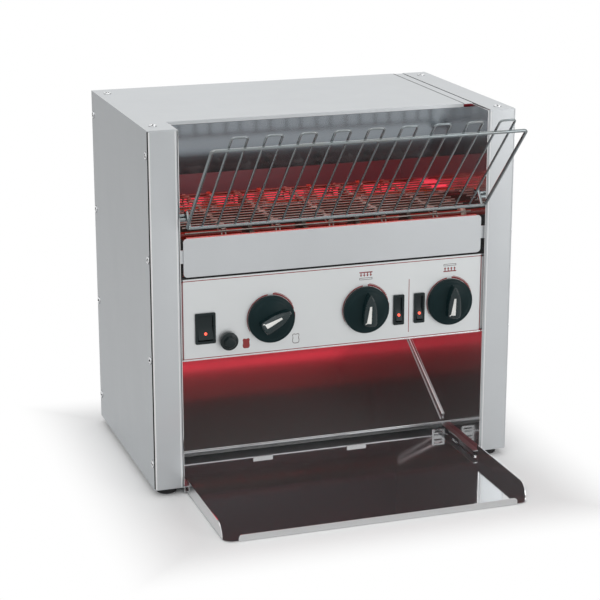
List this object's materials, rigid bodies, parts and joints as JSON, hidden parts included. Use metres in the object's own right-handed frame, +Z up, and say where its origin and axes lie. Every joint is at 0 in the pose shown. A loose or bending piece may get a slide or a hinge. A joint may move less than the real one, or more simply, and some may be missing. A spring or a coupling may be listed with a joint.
{
  "type": "conveyor toaster",
  "caption": "Counter-top conveyor toaster: stainless housing with wire feed rack, driven wire belt oven, knob and rocker panel, discharge slide and pull-out tray.",
  "frame": {"origin": "middle of the whole object's bounding box in X and Y, on the surface that the feet stand on", "axes": "+X to the right seen from the front, +Y to the back, +Z up; the tray reaches out towards -Y"},
  "size_m": [0.4636, 0.459, 0.461],
  "materials": {
    "satin_steel": "satin brushed stainless",
    "polished_steel": "mirror-polished stainless",
    "panel_steel": "fine satin stainless with printed border and dial marks",
    "chrome_wire": "bright chromed wire",
    "zinc_steel": "zinc-plated steel",
    "belt_wire": "heat-dulled stainless wire",
    "chain_steel": "oiled steel",
    "heater_quartz": "quartz sheath over a glowing element",
    "ceramic": "off-white ceramic",
    "bronze": "sintered bronze",
    "motor_paint": "dark painted castings",
    "black_plastic": "fine-grained black",
    "knob_plastic": "near-black with a soft shine",
    "white_ink": "white",
    "lamp_red": "clear red lens",
    "panel_print": "dark red and grey marks printed on the control panel",
    "foot_rubber": "matte black",
    "gland_rubber": "matte black"
  },
  "bodies": {
    "housing": {"base_pan": "satin_steel", "left_side_panel": "satin_steel", "right_side_cover": "satin_steel", "back_panel": "satin_steel", "top_cover": "satin_steel", "left_front_column": "satin_steel", "right_front_column": "satin_steel", "left_inner_wall": "polished_steel", "right_inner_wall": "polished_steel", "upper_baffle": "polished_steel", "upper_reflector": "polished_steel", "lower_reflector": "polished_steel", "rear_guide": "polished_steel", "discharge_slide": "polished_steel", "front_cover": "satin_steel", "control_panel": "panel_steel", "control_box": "satin_steel", "belt_support": "zinc_steel", "upper_heaters": "heater_quartz", "lower_heaters": "heater_quartz", "heater_bushes": "ceramic", "shaft_bushes": "bronze", "idler_tensioners": "zinc_steel", "gearmotor": "motor_paint", "terminal_block": "ceramic", "cable_gland": "gland_rubber", "fan_frame": "black_plastic", "rack_pins": "zinc_steel", "tray_rails": "satin_steel", "feet": "foot_rubber", "cover_screws": "zinc_steel", "power_switch": "black_plastic", "heat_switches": "black_plastic", "speed_control": "zinc_steel", "heat_regulators": "zinc_steel", "reset_thermostat": "zinc_steel", "conveyor_belt": "belt_wire", "drive_chain": "chain_steel"},
    "speed_dial": {"speed_knob": "knob_plastic", "speed_pointer": "white_ink"},
    "upper_heat_dial": {"upper_heat_knob": "knob_plastic", "upper_heat_pointer": "white_ink"},
    "lower_heat_dial": {"lower_heat_knob": "knob_plastic", "lower_heat_pointer": "white_ink"},
    "power_key": {"power_rocker": "black_plastic", "power_lamp": "lamp_red"},
    "upper_heat_key": {"upper_heat_rocker": "black_plastic", "upper_heat_lamp": "lamp_red"},
    "lower_heat_key": {"lower_heat_rocker": "black_plastic", "lower_heat_lamp": "lamp_red"},
    "reset_button": {"reset_cap": "black_plastic"},
    "belt_drive": {"drive_shaft": "zinc_steel", "belt_sprockets": "zinc_steel", "shaft_chainwheel": "zinc_steel"},
    "belt_idler": {"idler_roller": "zinc_steel"},
    "motor_output": {"motor_chainwheel": "zinc_steel"},
    "cooling_fan": {"fan_impeller": "black_plastic"},
    "crumb_tray": {"outfeed_tray": "polished_steel"},
    "loading_rack": {"feed_rack": "chrome_wire"}
  },
  "joints": [
    {"name": "speed_knob_turn", "type": "hinge", "parent": "housing", "child": "speed_dial", "pos_m": [-0.082, -0.0675, 0.21], "axis": [0, 1, 0], "range_deg": [-195, 75]},
    {"name": "upper_heat_knob_turn", "type": "hinge", "parent": "housing", "child": "upper_heat_dial", "pos_m": [0.039, -0.0675, 0.21], "axis": [0, 1, 0], "range_deg": [0, 300]},
    {"name": "lower_heat_knob_turn", "type": "hinge", "parent": "housing", "child": "lower_heat_dial", "pos_m": [0.149, -0.0675, 0.21], "axis": [0, 1, 0], "range_deg": [0, 300]},
    {"name": "power_rocker_tip", "type": "hinge", "parent": "housing", "child": "power_key", "pos_m": [-0.1635, -0.0645, 0.2055], "axis": [1, 0, 0], "range_deg": [0, 16]},
    {"name": "upper_heat_rocker_tip", "type": "hinge", "parent": "housing", "child": "upper_heat_key", "pos_m": [0.082, -0.0645, 0.2055], "axis": [1, 0, 0], "range_deg": [0, 16]},
    {"name": "lower_heat_rocker_tip", "type": "hinge", "parent": "housing", "child": "lower_heat_key", "pos_m": [0.109, -0.0645, 0.2055], "axis": [1, 0, 0], "range_deg": [0, 16]},
    {"name": "reset_press", "type": "slide", "parent": "housing", "child": "reset_button", "axis": [0, 1, 0], "range_m": [0, 0.0025], "stiffness_N_per_m": 300},
    {"name": "drive_spin", "type": "hinge", "parent": "housing", "child": "belt_drive", "pos_m": [0, 0.1256, 0.30179], "axis": [1, 0, 0], "continuous": true, "deforming": ["conveyor_belt", "drive_chain"]},
    {"name": "idler_spin", "type": "hinge", "parent": "housing", "child": "belt_idler", "pos_m": [0, -0.0395, 0.30179], "axis": [1, 0, 0], "continuous": true},
    {"name": "motor_spin", "type": "hinge", "parent": "housing", "child": "motor_output", "pos_m": [0, 0.1763, 0.0427], "axis": [1, 0, 0], "continuous": true},
    {"name": "fan_spin", "type": "hinge", "parent": "housing", "child": "cooling_fan", "pos_m": [-0.0865, 0.1603, 0.02], "axis": [0, 0, 1], "continuous": true},
    {"name": "tray_slide", "type": "slide", "parent": "housing", "child": "crumb_tray", "axis": [0, -1, 0], "range_m": [0, 0.1]},
    {"name": "rack_lift", "type": "slide", "parent": "housing", "child": "loading_rack", "axis": [0, 0, 1], "range_m": [0, 0.02]}
  ],
  "couplings": [
    {"joint": "idler_spin", "follows": "drive_spin", "ratio": 1},
    {"joint": "motor_spin", "follows": "drive_spin", "ratio": 1}
  ]
}
